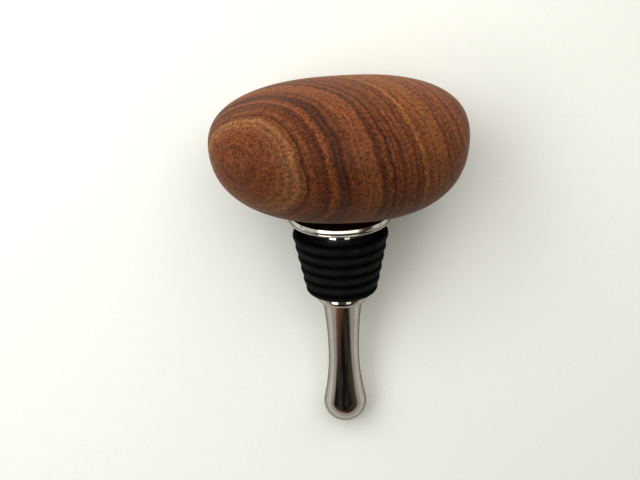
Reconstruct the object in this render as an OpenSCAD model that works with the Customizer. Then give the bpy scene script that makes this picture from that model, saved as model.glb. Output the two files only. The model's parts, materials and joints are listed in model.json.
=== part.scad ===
// Bottle stopper with a ringed stone for a knob, a chromed body and a ribbed rubber sleeve.
// It is drawn upright about its own axis, then laid down as it comes to rest: on the back of
// the stone and on the bulb at its tip, with +Z up, +Y towards the stone and the floor at Z = 0.

/* [Stone knob] */
// Reach of the stone to the left of its thickest place
stone_left = 32.9; // [26:0.1:38]
// Reach of the stone to the right of its thickest place
stone_right = 28; // [22:0.1:34]
// Half the depth of the stone, front to back
stone_half_depth = 26; // [21:0.1:31]
// Rise of the stone above its widest level
stone_rise = 12.5; // [9:0.1:17]
// Drop of the stone below its widest level
stone_drop = 19.8; // [15:0.1:24]
// Fullness of the stone's ends, where 2 is an ellipse and more is boxier
stone_fullness = 2.4; // [2:0.05:3]
// Tilt of the stone on its seat, right side up, in degrees
stone_tilt = 1; // [0:0.1:4]
// Offset of the stone's thickest place to the right of the stopper's axis
stone_shift = 2.7; // [0:0.1:5]
// Depth ground off the bottom of the stone for its flat seat
seat_depth = 0.5; // [0.2:0.05:1.2]

/* [Stud] */
// Diameter of the stud
stud_d = 6; // [4:0.1:7]
// Length of the stud inside the stone
stud_in_stone = 12; // [8:0.5:18]
// Length of the stud inside the stopper body
stud_in_body = 10; // [6:0.5:14]
// Chamfer at both ends of the stud
stud_chamfer = 0.6; // [0.2:0.1:1]
// Gap for the bond around the stud in the stone
bond_gap = 0.2; // [0.1:0.05:0.5]
// Depth of the stone's hole beyond the end of the stud
drill_over = 0.6; // [0.2:0.1:2]
// Gap around the stud in the stopper body
thread_gap = 0.05; // [0.02:0.01:0.2]

/* [Stopper body] */
// Diameter of the flange under the stone
flange_d = 25; // [20:0.1:30]
// Thickness of the flange, whose rim is fully rounded
flange_t = 1.8; // [1.4:0.1:3]
// Diameter of the neck under the flange
neck_d = 12.2; // [11.4:0.1:13]
// Length of the neck, from the flange to the dished top of the sleeve
neck_len = 4; // [3:0.1:6]
// Fillet where the neck meets the flange
neck_fillet = 1.2; // [0.4:0.1:1.8]
// Diameter of the collar that the neck widens to
collar_d = 13.8; // [13.2:0.1:15]
// Height of the collar's straight edge
collar_h = 0.6; // [0.3:0.1:1]
// Diameter of the core inside the sleeve
core_d = 10.5; // [9.8:0.1:11.4]
// Diameter of the shoulder below the sleeve
shoulder_d = 12.3; // [11.6:0.1:14]
// Height of the shoulder
shoulder_h = 2.9; // [2:0.1:4]
// Rounding of the shoulder's upper edge
shoulder_top_round = 0.5; // [0.2:0.1:0.8]
// Rounding of the shoulder's lower edge
shoulder_low_round = 1.2; // [0.6:0.1:1.6]
// Diameter of the shank where it leaves the shoulder
shank_top_d = 9.8; // [8.6:0.1:10.8]
// Diameter of the shank at its waist
waist_d = 7.7; // [6:0.1:8.4]
// Diameter of the bulb at the tip
bulb_d = 10.8; // [9.4:0.1:13]
// Radius of the hollow curve that runs from the waist into the bulb
flare_r = 60; // [40:1:80]
// Length of the body from the underside of the flange to the end of the bulb
body_len = 56; // [52:0.5:70]

/* [Rubber sleeve] */
// Diameter of the rib that seals a standard bottle neck
seal_d = 18.8; // [17.8:0.1:19.6]
// Radius lost from each rib to the next one down
rib_step = 0.56; // [0.3:0.02:0.7]
// Distance from rib to rib along the axis
rib_pitch = 2.85; // [2.5:0.05:3.2]
// Height of the straight land on each rib
rib_land = 0.6; // [0.4:0.05:0.9]
// Height of the rounded shoulder above each land
rib_shoulder = 0.7; // [0.4:0.05:0.9]
// Radius lost in the taper below each land
rib_taper = 0.5; // [0.2:0.05:0.7]
// Height of the rounded edge under each taper
rib_under = 0.3; // [0.15:0.05:0.4]
// Depth of the grooves below the crest of the next rib down
groove_depth = 0.45; // [0.3:0.05:0.9]
// Height of the top rib above its groove
top_rib_h = 2.9; // [2.6:0.1:3.6]
// Rise of the top rib's rim above the dished top of the sleeve
dish_rise = 1.1; // [0.4:0.1:1.4]
// Gap around the collar at the foot of the dish
dish_gap = 0.3; // [0.1:0.05:0.6]
// Rounding of the top rib's upper edge
lip_round = 0.8; // [0.3:0.1:1]
// Height of the end lip below the last groove
tail_h = 1.75; // [1.4:0.05:2.4]
// Radius of the end lip at its bottom face
tail_low_r = 7.3; // [6.6:0.1:7.8]
// Gap between the sleeve and the core
sleeve_gap = 0.05; // [0.02:0.01:0.15]

/* [Pose] */
// Turn about its own axis at which the stopper comes to rest, in degrees
rest_turn = -0.9; // [-4:0.1:4]

/* [Hidden] */
$fn = 96;

// Steps in each quarter of the stone's outline, and in each rounded edge of the turned pieces
stone_steps = 22;
round_steps = 6;
curve_steps = 14;

// Ribs on the sleeve, counted from the top, and the place of the one that seals
rib_count = 6;
seal_rib = 4;

// Overlap of a cutting tool past the face it opens
cut_over = 1;

// Levels along the stopper's axis, with the underside of the flange at zero
sleeve_h = top_rib_h + (rib_count - 2) * rib_pitch + tail_h;
sleeve_top = -neck_len;
rim_top = sleeve_top + dish_rise;
sleeve_low = rim_top - sleeve_h;
shank_top = sleeve_low - shoulder_h;
bulb_r = bulb_d / 2;
bulb_level = bulb_r - body_len;
waist_r = waist_d / 2;
waist_level = bulb_level + sqrt(pow(flare_r + bulb_r, 2) - pow(flare_r + waist_r, 2));

// Arc about a centre, as radius and level, from one angle to another
function arc(r, level, radius, from, to, steps) = [
    for (i = [0:steps])
        let (a = from + (to - from) * i / steps)
            [r + radius * cos(a), level + radius * sin(a)]
];

// Half width of the stone, as a share of the whole, at a share of its reach
function fullness(share) = pow(max(0, 1 - pow(abs(share), stone_fullness)), 1 / stone_fullness);

// Outline of the stone along its length, spaced closer towards the ends
stone_outline = [
    for (i = [-stone_steps:stone_steps])
        let (share = sign(i) * pow(abs(sin(90 * i / stone_steps)), 2 / stone_fullness))
            [stone_half_depth * fullness(share), share * (i < 0 ? stone_left : stone_right)]
];

// How far the stone reaches from its middle along a direction in its own axes
function own_reach(n) =
    let (
        dual = stone_fullness / (stone_fullness - 1),
        along = (n[0] < 0 ? stone_left : stone_right) * abs(n[0]),
        across = norm([stone_half_depth * n[1], (n[2] < 0 ? stone_drop : stone_rise) * n[2]])
    )
    pow(pow(along, dual) + pow(across, dual), 1 / dual);

// A direction or place after the turn about the stopper's axis
function turned(v) =
    [v[0] * cos(rest_turn) - v[1] * sin(rest_turn), v[0] * sin(rest_turn) + v[1] * cos(rest_turn), v[2]];

own_x = [cos(stone_tilt), 0, sin(stone_tilt)];
own_z = [-sin(stone_tilt), 0, cos(stone_tilt)];
stone_axes = [turned(own_x), turned([0, 1, 0]), turned(own_z)];
stone_level = flange_t - seat_depth + own_reach([-own_x[2], 0, -own_z[2]]);
stone_middle = turned([stone_shift, 0, stone_level]);

// How far the stone reaches along a direction from the middle of the flange's underside
function stone_reach(n) = stone_middle * n + own_reach([for (axis = stone_axes) axis * n]);

// How far the bulb reaches along a direction
function bulb_reach(n) = bulb_level * n[2] + bulb_r;

// Directions of the floor and of the stone's end, for a lean of the axis above the floor
function down(lean) = [0, cos(lean), -sin(lean)];
function ahead(lean) = [0, sin(lean), cos(lean)];

// The lean at which stone and bulb both touch the floor, found by halving
function rest_lean(low, high, halvings) =
    let (middle = (low + high) / 2)
        halvings == 0 ? middle :
        stone_reach(down(middle)) > bulb_reach(down(middle)) ? rest_lean(middle, high, halvings - 1) :
        rest_lean(low, middle, halvings - 1);

lean = rest_lean(0, 60, 40);
middle_x = (stone_reach([1, 0, 0]) - stone_reach([-1, 0, 0])) / 2;
middle_y = (stone_reach(ahead(lean)) - bulb_reach(-ahead(lean))) / 2;
floor_drop = stone_reach(down(lean));

// Lays the upright stopper down on the floor
module lay_down() {
    translate([-middle_x, -middle_y, floor_drop])
        rotate([lean - 90, 0, 0])
            rotate([0, 0, rest_turn])
                children();
}

// Upper or lower half of the stone, lying along X
module stone_half(height) {
    scale([1, 1, height / stone_half_depth])
        rotate([90, 0, 90])
            rotate_extrude(angle = 180)
                polygon(stone_outline);
}

// The whole pebble about its own middle
module pebble() {
    union() {
        stone_half(stone_rise);
        mirror([0, 0, 1])
            stone_half(stone_drop);
    }
}

module stone_knob() {
    color("sienna")
        lay_down()
            difference() {
                translate([stone_shift, 0, stone_level])
                    rotate([0, -stone_tilt, 0])
                        pebble();
                translate([0, 0, flange_t - stone_drop])
                    cylinder(d = flange_d, h = stone_drop);
                translate([0, 0, flange_t - cut_over])
                    cylinder(d = stud_d + 2 * bond_gap, h = cut_over + stud_in_stone + drill_over);
            }
}

module threaded_stud() {
    stud_r = stud_d / 2;
    low = flange_t - stud_in_body;
    high = flange_t + stud_in_stone;
    color("darkgray")
        lay_down()
            rotate_extrude()
                polygon([
                    [0, low],
                    [stud_r - stud_chamfer, low],
                    [stud_r, low + stud_chamfer],
                    [stud_r, high - stud_chamfer],
                    [stud_r - stud_chamfer, high],
                    [0, high]
                ]);
}

// Half section of the turned body, from the middle of its top face round to the end of the bulb
function body_section() =
    let (
        rim_r = flange_t / 2,
        rim_at = flange_d / 2 - rim_r,
        neck_r = neck_d / 2,
        collar_r = collar_d / 2,
        core_r = core_d / 2,
        shoulder_r = shoulder_d / 2,
        shank_top_r = shank_top_d / 2,
        fillet = min(neck_fillet, neck_len - collar_h, rim_at - neck_r),
        top_round = min(shoulder_top_round, shoulder_r - core_r),
        low_round = min(shoulder_low_round, shoulder_r - shank_top_r, shoulder_h - top_round),
        rise = shank_top - waist_level,
        gain = shank_top_r - waist_r,
        hollow_r = (rise * rise + gain * gain) / (2 * gain),
        hollow_angle = asin(rise / hollow_r),
        flare_angle = asin((waist_level - bulb_level) / (flare_r + bulb_r)),
        flare_start = 180 + flare_angle / curve_steps
    )
    concat(
        [[0, flange_t]],
        arc(rim_at, rim_r, rim_r, 90, -90, 2 * round_steps),
        arc(neck_r + fillet, -fillet, fillet, 90, 180, round_steps),
        [[collar_r, sleeve_top + collar_h], [collar_r, sleeve_top]],
        [[core_r, sleeve_top], [core_r, sleeve_low]],
        arc(shoulder_r - top_round, sleeve_low - top_round, top_round, 90, 0, round_steps),
        arc(shoulder_r - low_round, shank_top + low_round, low_round, 0, -90, round_steps),
        arc(waist_r + hollow_r, waist_level, hollow_r, 180 - hollow_angle, 180, curve_steps),
        arc(waist_r + flare_r, waist_level, flare_r, flare_start, 180 + flare_angle, curve_steps),
        arc(0, bulb_level, bulb_r, flare_angle - 90 / curve_steps, -90, curve_steps)
    );

module stopper_body() {
    color("silver")
        lay_down()
            difference() {
                rotate_extrude()
                    polygon(body_section());
                translate([0, 0, flange_t - stud_in_body])
                    cylinder(d = stud_d + 2 * thread_gap, h = stud_in_body + cut_over);
            }
}

// Crest radius of a rib, counted from the top
function crest_r(rib) = seal_d / 2 + (seal_rib - rib) * rib_step;

// Level of the groove below a rib
function groove_level(rib) = rim_top - top_rib_h - rib * rib_pitch;

// Radius at the bottom of the groove below a rib
function groove_r(rib) = crest_r(rib + 1) - groove_depth;

// Rounded flank between an edge and the bottom of a groove, drawn from the groove when outwards is true
function flank(edge_r, edge_level, foot_r, foot_level, outwards) = [
    for (i = [0:round_steps])
        let (a = 90 * (outwards ? round_steps - i : i) / round_steps)
            [foot_r + (edge_r - foot_r) * cos(a), edge_level + (foot_level - edge_level) * sin(a)]
];

// Half section of the sleeve, down its ribbed outside and back up its bore
function sleeve_section() =
    let (
        taper_h = rib_pitch - rib_shoulder - rib_land - rib_under,
        last = rib_count - 1,
        tail_level = groove_level(last - 1) - rib_shoulder,
        bore_r = core_d / 2 + sleeve_gap
    )
    concat(
        [[collar_d / 2 + dish_gap, sleeve_top]],
        arc(crest_r(0) - lip_round, rim_top - lip_round, lip_round, 90, 0, round_steps),
        [
            for (rib = [0:last - 1])
                let (level = groove_level(rib), foot_r = groove_r(rib))
                    each concat(
                        [[crest_r(rib), level + rib_under + taper_h]],
                        flank(crest_r(rib) - rib_taper, level + rib_under, foot_r, level, false),
                        flank(crest_r(rib + 1), level - rib_shoulder, foot_r, level, true)
                    )
        ],
        flank(crest_r(last), tail_level, tail_low_r, sleeve_low, false),
        [[bore_r, sleeve_low], [bore_r, sleeve_top]]
    );

module rubber_sleeve() {
    color("dimgray")
        lay_down()
            rotate_extrude()
                polygon(sleeve_section());
}

stone_knob();
threaded_stud();
stopper_body();
rubber_sleeve();
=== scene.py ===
"""A bottle stopper with a ringed stone knob, a chromed body and a ribbed rubber sleeve.

Shapes are worked out in the stopper's own upright frame, in millimetres: the underside of the flange
is level zero, +z runs along the axis to the stone, +x to the stone's short end and +y to its back.
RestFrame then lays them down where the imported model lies, in metres.
"""

import json
import logging
import math
from dataclasses import dataclass
from enum import Enum
from typing import Any, ClassVar

import bpy
import numpy as np
from mathutils import Matrix


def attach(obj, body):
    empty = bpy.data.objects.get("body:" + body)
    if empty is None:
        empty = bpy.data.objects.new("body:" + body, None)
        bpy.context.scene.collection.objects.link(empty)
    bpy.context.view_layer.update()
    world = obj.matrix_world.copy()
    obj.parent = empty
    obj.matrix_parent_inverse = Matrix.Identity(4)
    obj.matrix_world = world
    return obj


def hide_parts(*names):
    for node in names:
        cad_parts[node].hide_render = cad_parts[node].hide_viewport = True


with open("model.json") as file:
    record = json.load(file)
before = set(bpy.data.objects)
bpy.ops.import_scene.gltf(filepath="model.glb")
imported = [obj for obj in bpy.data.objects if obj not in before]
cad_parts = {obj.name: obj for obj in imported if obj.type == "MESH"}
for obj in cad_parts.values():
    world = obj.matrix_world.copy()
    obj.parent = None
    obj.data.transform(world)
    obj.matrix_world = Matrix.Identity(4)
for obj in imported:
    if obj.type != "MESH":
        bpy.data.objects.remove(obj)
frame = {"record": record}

log = logging.getLogger("bottle_stopper")

MM = 0.001
BODY = "root"

# Turn of the lying stopper about its own axis, in degrees.
REST_TURN = -0.9

# Angles in a half section, in degrees: away from the axis, up, to the axis and down.
OUTWARDS = 0.0
UPWARDS = 90.0
INWARDS = 180.0
DOWNWARDS = -90.0

Socket = bpy.types.NodeSocket
Colour = tuple[float, float, float]
Place = tuple[float, float, float]
Span = tuple[float, float]

RISING: Span = (0.0, 1.0)
FALLING: Span = (1.0, 0.0)
NOISE_MIDDLE = 0.5
BLACK: Colour = (0.0, 0.0, 0.0)


class Slot(Enum):
    """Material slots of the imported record."""

    STONE = "ringed_stone"
    STUD = "stud_steel"
    CHROME = "chrome"
    RUBBER = "black_rubber"


class Tone(Enum):
    """Colours of the stone's rings, as linear red, green and blue."""

    RUSSET = (0.146, 0.041, 0.0128)
    SIENNA = (0.168, 0.051, 0.0160)
    TAN = (0.214, 0.083, 0.029)
    OCHRE = (0.176, 0.060, 0.0158)
    RUST = (0.172, 0.046, 0.0130)
    CHESTNUT = (0.105, 0.028, 0.0092)
    UMBER = (0.064, 0.0165, 0.0066)
    PLUM = (0.050, 0.0155, 0.0080)


@dataclass(frozen=True)
class Clouds:
    """Cloudy noise.

    Attributes:
        scale: Features to a unit of place.
        detail: Octaves above the first.
        rough: Share that each octave keeps.
        band: Noise values that are spread over the whole of a wanted span.
    """

    scale: float
    detail: float
    rough: float = 0.5
    band: Span = RISING


@dataclass(frozen=True)
class Relief:
    """A bump: the share of its tilt that is kept, and the height of a full step in millimetres."""

    strength: float
    depth: float


@dataclass(frozen=True)
class RestFrame:
    """Where the upright stopper lies: the place of its level zero and its three directions as columns."""

    origin: np.ndarray
    axes: np.ndarray

    @classmethod
    def from_mount(cls, mount: dict[str, Any], level: float, turn: float) -> "RestFrame":
        """Works the frame out from the mount on the sealing rib, which points along the axis to the tip.

        Args:
            mount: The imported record's mount.
            level: Level of the mount's place in the upright frame, in millimetres.
            turn: Turn of the lying stopper about its own axis, in degrees.

        Returns:
            The frame, whose third direction is the axis.
        """
        up = -np.array(mount["axis"], float)
        up /= np.linalg.norm(up)
        level_side = np.array((1.0, 0.0, 0.0))
        level_back = np.cross(up, level_side)
        cosine, sine = math.cos(math.radians(turn)), math.sin(math.radians(turn))
        side = cosine * level_side + sine * level_back
        back = cosine * level_back - sine * level_side
        origin = np.array(mount["pos_m"], float) - up * level * MM
        return cls(origin, np.column_stack((side, back, up)))

    def place(self, points: np.ndarray) -> np.ndarray:
        """Upright points in millimetres, moved to the row frame in metres."""
        return self.origin + MM * points @ self.axes.T


@dataclass
class Skin:
    """A closed surface of rings of points, with a pole where an end closes on the axis.

    Attributes:
        rings: Points as rows by columns by three; each row is a closed ring.
        first_pole: The point that closes the first ring, if any.
        last_pole: The point that closes the last ring, if any.
        joins: True if the last ring joins the first, as on a tube bent into a ring.
    """

    rings: np.ndarray
    first_pole: np.ndarray | None = None
    last_pole: np.ndarray | None = None
    joins: bool = False

    def points(self) -> np.ndarray:
        """All points: the rings, then the poles."""
        poles = [p for p in (self.first_pole, self.last_pole) if p is not None]
        return np.vstack([self.rings.reshape(-1, 3), *[np.reshape(p, (1, 3)) for p in poles]])

    def faces(self) -> tuple[np.ndarray, np.ndarray]:
        """Joins each ring to the next with quads, and the end rings to their poles with triangles.

        Returns:
            The quads and the triangles, as point numbers, turned so that they face outwards.
        """
        rows, columns = self.rings.shape[:2]
        own = np.arange(rows * columns).reshape(rows, columns)
        if self.joins:
            own = np.vstack((own, own[:1]))
        beside = np.roll(own, -1, axis=1)
        quads = np.stack((own[:-1], beside[:-1], beside[1:], own[1:]), axis=-1).reshape(-1, 4)
        fans = [np.empty((0, 3), int)]
        pole = rows * columns
        if self.first_pole is not None:
            fans.append(np.stack((beside[0], own[0], np.full(columns, pole)), axis=-1))
            pole += 1
        if self.last_pole is not None:
            fans.append(np.stack((own[-1], beside[-1], np.full(columns, pole)), axis=-1))
        triangles = np.vstack(fans)
        if self._volume(quads, triangles) < 0:
            quads, triangles = quads[:, ::-1], triangles[:, ::-1]
        return quads, triangles

    def _volume(self, quads: np.ndarray, triangles: np.ndarray) -> float:
        """Signed volume: the sum of the corner products of all triangles about the origin, over six.

        Args:
            quads: The quads, as point numbers.
            triangles: The triangles, as point numbers.

        Returns:
            The volume, which is below zero if the faces are turned inwards.
        """
        points = self.points()
        halves = np.vstack((quads[:, [0, 1, 2]], quads[:, [0, 2, 3]], triangles))
        a, b, c = (points[halves[:, i]] for i in range(3))
        return float(np.einsum("ij,ij->i", a, np.cross(b, c)).sum() / 6.0)

    def to_object(self, name: str, rest: RestFrame, sharp: float) -> bpy.types.Object:
        """Puts the surface into a new mesh object.

        Args:
            name: Name of the piece.
            rest: Where the stopper lies.
            sharp: Edges that turn by more than this many degrees are shaded as corners.

        Returns:
            The object, at the origin, with its place in its mesh.
        """
        quads, triangles = self.faces()
        points = rest.place(self.points())
        corners = np.concatenate((quads.ravel(), triangles.ravel())).astype(np.int32)
        quad_starts = 4 * np.arange(len(quads))
        fan_starts = 4 * len(quads) + 3 * np.arange(len(triangles))
        starts = np.concatenate((quad_starts, fan_starts)).astype(np.int32)
        mesh = bpy.data.meshes.new(name)
        mesh.vertices.add(len(points))
        mesh.vertices.foreach_set("co", points.astype(np.float32).ravel())
        mesh.loops.add(len(corners))
        mesh.loops.foreach_set("vertex_index", corners)
        mesh.polygons.add(len(starts))
        mesh.polygons.foreach_set("loop_start", starts)
        mesh.update(calc_edges=True)
        mesh.shade_smooth()
        mesh.set_sharp_from_angle(angle=math.radians(sharp))
        piece = bpy.data.objects.new(name, mesh)
        bpy.context.scene.collection.objects.link(piece)
        return piece


def on_axis(level: float) -> np.ndarray:
    """The point of the axis at a level."""
    return np.array((0.0, 0.0, level))


def arc(radius_at: float, level: float, radius: float, start: float, end: float, steps: int) -> np.ndarray:
    """Points of an arc in a half section: centre plus radius times the cosine and sine of an even sweep.

    Args:
        radius_at: Distance of the arc's centre from the axis.
        level: Level of the arc's centre.
        radius: Radius of the arc.
        start: Angle at which it starts, in degrees from straight outwards.
        end: Angle at which it ends.
        steps: Number of steps.

    Returns:
        Rows of distance from the axis and level.
    """
    angles = np.radians(np.linspace(start, end, steps + 1))
    return np.column_stack((radius_at + radius * np.cos(angles), level + radius * np.sin(angles)))


def revolve(section: np.ndarray, columns: int) -> np.ndarray:
    """Turns a half section about the axis: x = r cos a, y = r sin a, z as it is, for even angles a.

    Args:
        section: Rows of distance from the axis and level.
        columns: Points in each ring.

    Returns:
        Rings of points, one for each row of the section.
    """
    angles = np.linspace(0.0, 2.0 * np.pi, columns, endpoint=False)
    around = np.stack((np.cos(angles), np.sin(angles)), axis=-1)
    flat = section[:, None, :1] * around[None]
    levels = np.broadcast_to(section[:, None, 1:], (*flat.shape[:2], 1))
    return np.concatenate((flat, levels), axis=-1)


class Bench:
    """Builds one node tree, step by step.

    Attributes:
        MIX_INPUTS: Numbers of the factor and the two colours among a colour mix's inputs.
        MIX_RESULT: Number of the mixed colour among its outputs.
    """

    MIX_INPUTS = (0, 6, 7)
    MIX_RESULT = 2

    def __init__(self, tree: bpy.types.NodeTree) -> None:
        """Starts on an empty tree."""
        self.tree = tree
        self.tree.nodes.clear()

    def add(self, kind: str, **settings: Any) -> bpy.types.Node:
        """Adds a node and sets its properties.

        Args:
            kind: Blender's name of the node.
            **settings: Properties of the node.

        Returns:
            The node.
        """
        node = self.tree.nodes.new(kind)
        for key, value in settings.items():
            setattr(node, key, value)
        return node

    def feed(self, socket: Socket, value: Any) -> None:
        """Links an input to a socket, or sets it to a value.

        Args:
            socket: The input.
            value: A socket or a value.
        """
        if isinstance(value, Socket):
            self.tree.links.new(value, socket)
        else:
            socket.default_value = value

    def wire(self, node: bpy.types.Node, inputs: dict[str, Any]) -> bpy.types.Node:
        """Feeds the named inputs of a node.

        Args:
            node: The node.
            inputs: Names of inputs, with the socket or the value that each gets.

        Returns:
            The node.
        """
        for name, value in inputs.items():
            self.feed(node.inputs[name], value)
        return node

    def math(self, operation: str, *values: Any) -> Socket:
        """A sum on numbers.

        Args:
            operation: Blender's name of the sum.
            *values: Sockets or numbers.

        Returns:
            The result.
        """
        node = self.add("ShaderNodeMath", operation=operation)
        for socket, value in zip(node.inputs, values):
            self.feed(socket, value)
        return node.outputs[0]

    def weigh(self, first: Socket, second: Socket, share: float) -> Socket:
        """A share of one number and the rest of another."""
        rest = self.math("MULTIPLY", second, 1.0 - share)
        return self.math("MULTIPLY_ADD", first, share, rest)

    def vector(self, operation: str, first: Any, second: Any = (0.0, 0.0, 0.0)) -> bpy.types.Node:
        """A sum on vectors.

        Args:
            operation: Blender's name of the sum.
            first: A vector or a socket.
            second: A vector or a socket, where the sum takes two.

        Returns:
            The node.
        """
        node = self.add("ShaderNodeVectorMath", operation=operation)
        self.feed(node.inputs[0], first)
        self.feed(node.inputs[1], second)
        return node

    def parts(self, place: Socket) -> tuple[Socket, ...]:
        """Splits a place into its three numbers.

        Args:
            place: The place.

        Returns:
            Its x, y and z.
        """
        node = self.add("ShaderNodeSeparateXYZ")
        self.feed(node.inputs[0], place)
        return tuple(node.outputs)

    def mix(self, factor: Any, first: Any, second: Any, blend: str = "MIX") -> Socket:
        """A mix of two colours.

        Args:
            factor: Share of the second colour.
            first: A colour or a socket.
            second: A colour or a socket.
            blend: How the second is laid over the first.

        Returns:
            The mixed colour.
        """
        node = self.add("ShaderNodeMix", data_type="RGBA", blend_type=blend, clamp_factor=True)
        for index, value in zip(self.MIX_INPUTS, (factor, first, second)):
            whole = (*value, 1.0) if isinstance(value, tuple) else value
            self.feed(node.inputs[index], whole)
        return node.outputs[self.MIX_RESULT]

    def span(self, value: Socket, given: Span, wanted: Span = RISING) -> Socket:
        """Maps a value from one span to another, held at the ends.

        Args:
            value: The value.
            given: The span that it comes in.
            wanted: The span that it is mapped to.

        Returns:
            The mapped value.
        """
        node = self.add("ShaderNodeMapRange", clamp=True)
        for socket, number in zip(node.inputs, (value, *given, *wanted)):
            self.feed(socket, number)
        return node.outputs[0]

    def noise(self, place: Socket, clouds: Clouds, scale: Socket | None = None) -> Socket:
        """Cloudy noise between 0 and 1.

        Args:
            place: Where it is read.
            clouds: What it is like.
            scale: Its scale, where a socket gives it.

        Returns:
            The noise value.
        """
        node = self.add("ShaderNodeTexNoise", noise_dimensions="3D", normalize=True)
        size = clouds.scale if scale is None else scale
        self.wire(node, {"Vector": place, "Scale": size, "Detail": clouds.detail, "Roughness": clouds.rough})
        return node.outputs[0]

    def cloud(self, place: Socket, clouds: Clouds, wanted: Span = RISING) -> Socket:
        """Cloudy noise, with its band spread over the wanted span."""
        return self.span(self.noise(place, clouds), clouds.band, wanted)

    def streak(self, distance: Socket, clouds: Clouds, wanted: Span) -> Socket:
        """Noise along one number, so that it is the same all along a ring.

        Args:
            distance: The number.
            clouds: What the noise is like.
            wanted: The span that its band is spread over.

        Returns:
            The spread noise.
        """
        node = self.add("ShaderNodeTexNoise", noise_dimensions="1D", normalize=True)
        self.wire(node, {"W": distance, "Scale": clouds.scale, "Detail": clouds.detail})
        return self.span(node.outputs[0], clouds.band, wanted)

    def ramp(self, factor: Socket, stops: list[tuple[float, Colour]]) -> Socket:
        """A run of colours, each fading evenly into the next.

        Args:
            factor: Place along the run, from 0 to 1.
            stops: Places and colours, in order.

        Returns:
            The colour at the place.
        """
        node = self.add("ShaderNodeValToRGB")
        elements = node.color_ramp.elements
        while len(elements) < len(stops):
            elements.new(1.0)
        for element, (place, colour) in zip(elements, stops):
            element.position = place
            element.color = (*colour, 1.0)
        self.feed(node.inputs[0], factor)
        return node.outputs[0]

    def bump(self, height: Socket, relief: Relief, under: Socket | None = None) -> Socket:
        """A normal tilted by a height.

        Args:
            height: Height between 0 and 1.
            relief: How strong and how deep the tilt is.
            under: A normal that is already tilted, if any.

        Returns:
            The tilted normal.
        """
        node = self.add("ShaderNodeBump")
        self.wire(node, {"Strength": relief.strength, "Distance": relief.depth * MM, "Height": height})
        if under is not None:
            self.feed(node.inputs["Normal"], under)
        return node.outputs[0]

    def group(self, tree: bpy.types.NodeTree, inputs: dict[str, Any]) -> bpy.types.Node:
        """Places a shared group and feeds its named inputs."""
        return self.wire(self.add("ShaderNodeGroup", node_tree=tree), inputs)

    def upright(self, rest: RestFrame) -> Socket:
        """Object coordinates, turned back to the upright frame in millimetres.

        Args:
            rest: Where the stopper lies.

        Returns:
            The upright place.
        """
        node = self.add("ShaderNodeMapping", vector_type="TEXTURE")
        self.wire(node, {
            "Location": rest.origin,
            "Rotation": Matrix(rest.axes.tolist()).to_euler("XYZ"),
            "Scale": (MM, MM, MM),
            "Vector": self.add("ShaderNodeTexCoord").outputs["Object"],
        })
        return node.outputs[0]


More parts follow.
